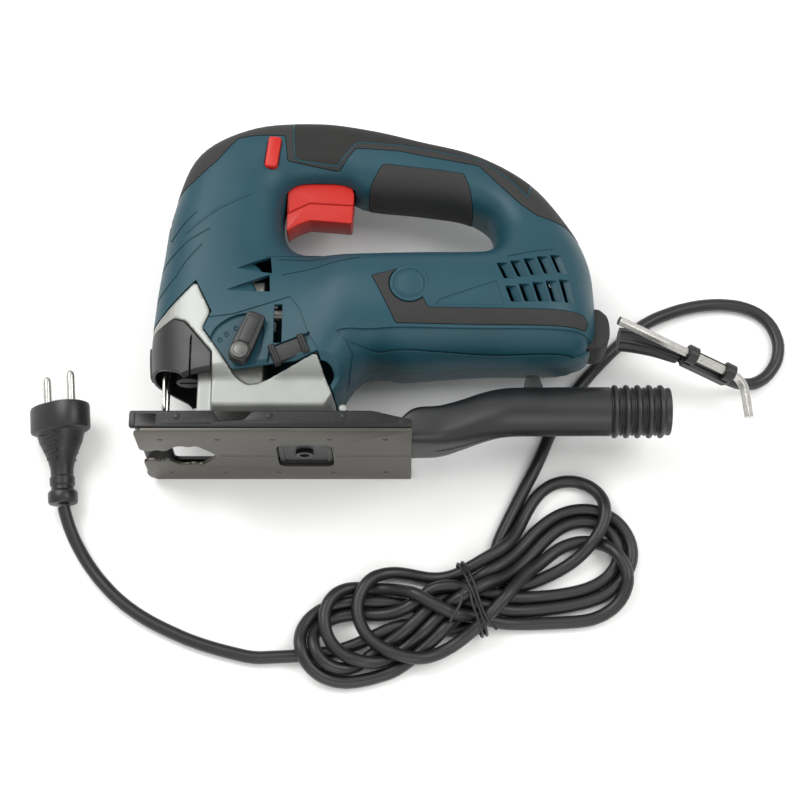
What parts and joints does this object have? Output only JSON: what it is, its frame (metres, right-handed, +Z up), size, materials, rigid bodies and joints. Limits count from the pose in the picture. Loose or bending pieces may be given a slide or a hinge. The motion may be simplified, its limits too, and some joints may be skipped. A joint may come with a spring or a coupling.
{
  "type": "jigsaw power tool",
  "caption": "Corded jigsaw with a closed D handle, soft grips, cast gear case, tilting sole, dust tube, hex key on its lead, coiled cord and mains plug.",
  "frame": {"origin": "On the table, centred in X and Y under the tool itself without its cord; the table is z = 0.", "axes": "+X from the nose to the cord end, +Y from the sole up to the handle, +Z up out of the table, which is the tool's left side, because the tool lies on its right side."},
  "size_m": [0.4398, 0.3292, 0.08],
  "materials": {
    "petrol_plastic": "fine-grained moulded plastic",
    "rubber": "soft matt overmould",
    "black_plastic": "satin moulded plastic",
    "red_plastic": "satin moulded plastic",
    "cast_aluminium": "satin die cast",
    "steel": "bright",
    "sole_steel": "dull zinc-plated sheet",
    "bracket_black": "semi-gloss black coating on sheet steel",
    "laminate": "stacked electrical steel",
    "copper": "turned copper",
    "bronze": "sintered bronze",
    "carbon": "pressed carbon",
    "nylon": "moulded nylon",
    "cord_rubber": "smooth black rubber"
  },
  "bodies": {
    "housing": {"housing_left": "petrol_plastic", "housing_right": "petrol_plastic", "top_grip_left": "rubber", "top_grip_right": "rubber", "palm_insert_left": "rubber", "palm_insert_right": "rubber", "side_band_left": "rubber", "side_band_right": "rubber", "badge_left": "petrol_plastic", "badge_right": "petrol_plastic", "gear_case": "cast_aluminium", "upper_plunger_bush": "bronze", "lower_plunger_bush": "bronze", "guard_wire": "steel", "gear_axle": "steel", "front_bearing": "steel", "rear_bearing": "steel", "stator": "laminate", "brush_holder_left": "bronze", "brush_holder_right": "bronze", "carbon_brush_left": "carbon", "carbon_brush_right": "carbon", "switch_body": "black_plastic", "cord_gland": "cord_rubber", "fork_pin": "steel", "cord_boot": "cord_rubber", "cord_lead": "cord_rubber", "cord_hank": "cord_rubber", "cord_tail": "cord_rubber", "plug_body": "cord_rubber", "plug_pin_left": "steel", "plug_pin_right": "steel", "hex_key": "steel", "key_holder": "cord_rubber"},
    "armature": {"armature_shaft": "steel", "armature_core": "laminate", "commutator": "copper", "fan": "nylon", "pinion": "steel"},
    "gear_wheel": {"gear_wheel": "steel"},
    "plunger": {"plunger": "steel", "blade_clamp": "black_plastic"},
    "nose_lever": {"nose_lever": "black_plastic"},
    "trigger": {"trigger": "red_plastic"},
    "lock_button": {"lock_button": "red_plastic"},
    "orbital_lever": {"orbital_lever": "black_plastic"},
    "blower_slider": {"blower_slider": "black_plastic"},
    "roller_fork": {"roller_fork": "steel", "roller_pin": "steel"},
    "guide_roller": {"guide_roller": "steel"},
    "base_carriage": {"clamp_bar": "steel"},
    "base": {"sole_plate": "sole_steel", "base_bracket": "bracket_black", "base_saddle": "bracket_black", "base_screw": "steel", "dust_tube": "black_plastic"}
  },
  "joints": [
    {"name": "armature_spin", "type": "hinge", "parent": "housing", "child": "armature", "pos_m": [-0.00285, -0.0174, 0.04], "axis": [1, 0, 0], "continuous": true},
    {"name": "wheel_spin", "type": "hinge", "parent": "housing", "child": "gear_wheel", "pos_m": [-0.09685, 0.0047, 0.04], "axis": [1, 0, 0], "continuous": true},
    {"name": "plunger_stroke", "type": "slide", "parent": "housing", "child": "plunger", "axis": [0, 1, 0], "range_m": [-0.013, 0.013]},
    {"name": "nose_lever_open", "type": "hinge", "parent": "housing", "child": "nose_lever", "pos_m": [-0.11085, -0.0768, 0.04], "axis": [0, 0, 1], "range_deg": [0, 8], "stiffness_Nm_per_rad": 0.6, "springref_deg": -8.59},
    {"name": "trigger_press", "type": "slide", "parent": "housing", "child": "trigger", "axis": [0, 1, 0], "range_m": [0, 0.006], "stiffness_N_per_m": 800, "springref_m": -0.002},
    {"name": "lock_press", "type": "slide", "parent": "housing", "child": "lock_button", "axis": [0, 0, -1], "range_m": [0, 0.003], "stiffness_N_per_m": 600, "springref_m": -0.0015},
    {"name": "orbital_turn", "type": "hinge", "parent": "housing", "child": "orbital_lever", "pos_m": [-0.09045, -0.0544, 0.04], "axis": [0, 0, 1], "range_deg": [0, 76]},
    {"name": "blower_slide", "type": "slide", "parent": "housing", "child": "blower_slider", "axis": [-0.9272, -0.3746, 0], "range_m": [0, 0.005]},
    {"name": "roller_swing", "type": "hinge", "parent": "housing", "child": "roller_fork", "pos_m": [-0.10385, -0.0508, 0.04], "axis": [0, 0, -1], "range_deg": [0, 3]},
    {"name": "roller_spin", "type": "hinge", "parent": "roller_fork", "child": "guide_roller", "pos_m": [-0.11235, -0.0788, 0.04], "axis": [0, 0, 1], "continuous": true},
    {"name": "base_slide", "type": "slide", "parent": "housing", "child": "base_carriage", "axis": [1, 0, 0], "range_m": [0, 0.005]},
    {"name": "base_bevel", "type": "hinge", "parent": "base_carriage", "child": "base", "pos_m": [-0.05585, -0.0898, 0.04], "axis": [1, 0, 0], "range_deg": [-45, 45]}
  ],
  "couplings": [
    {"joint": "armature_spin", "follows": "wheel_spin", "ratio": -2.4}
  ]
}
